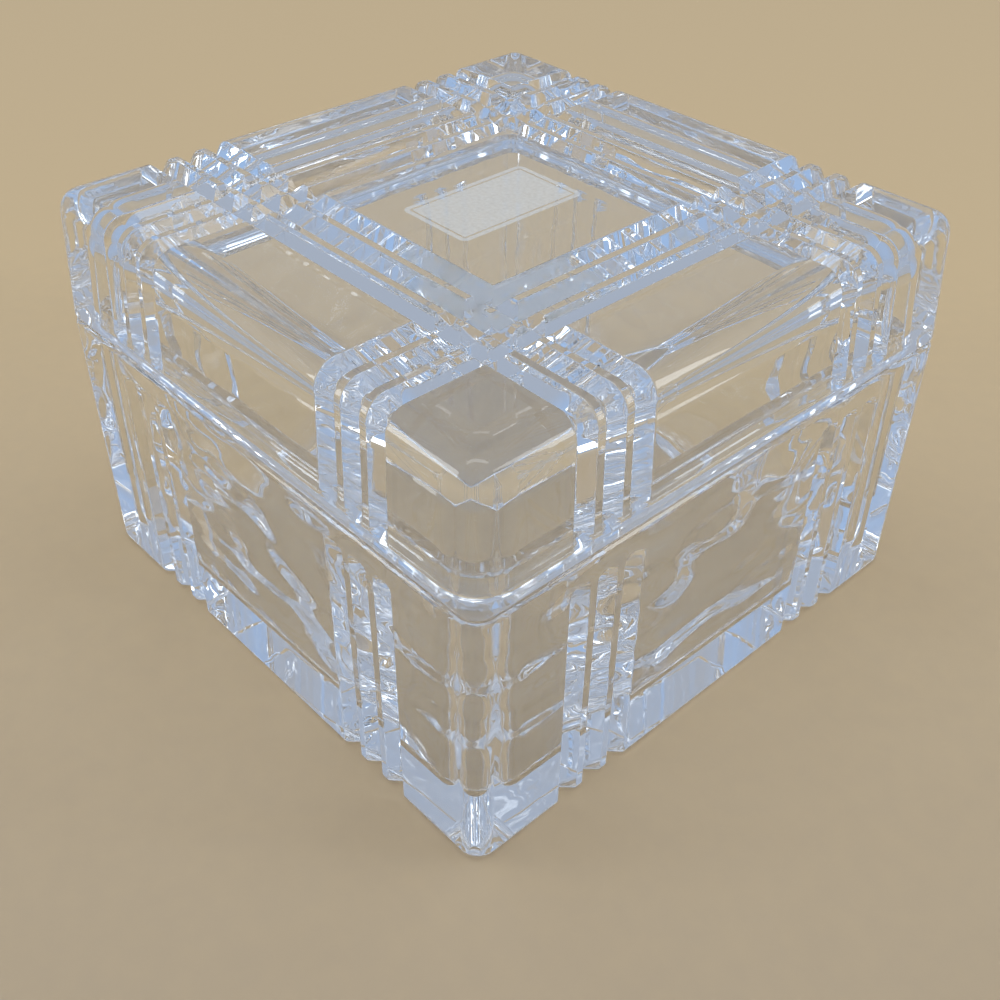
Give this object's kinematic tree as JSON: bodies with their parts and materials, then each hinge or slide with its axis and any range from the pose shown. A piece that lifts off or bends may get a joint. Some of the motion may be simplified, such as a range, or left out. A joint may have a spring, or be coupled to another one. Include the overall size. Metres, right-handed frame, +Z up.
{
  "type": "trinket box",
  "caption": "Square clear crystal trinket box with a deep lift-off lid, crossed bands of V grooves over the lid and down the sides, and a lip on the base that locates the lid.",
  "frame": {"origin": "centre of the base's underside, on the table", "axes": "+Z up through the lid; X and Y square to the box's sides"},
  "size_m": [0.095, 0.095, 0.0648],
  "materials": {
    "crystal": "clear pressed crystal, fire-polished"
  },
  "bodies": {
    "base": {"base": "crystal"},
    "lid": {"lid": "crystal"}
  },
  "joints": [
    {"name": "lid_lift", "type": "slide", "parent": "base", "child": "lid", "axis": [0, 0, 1], "range_m": [0, 0.05]}
  ]
}
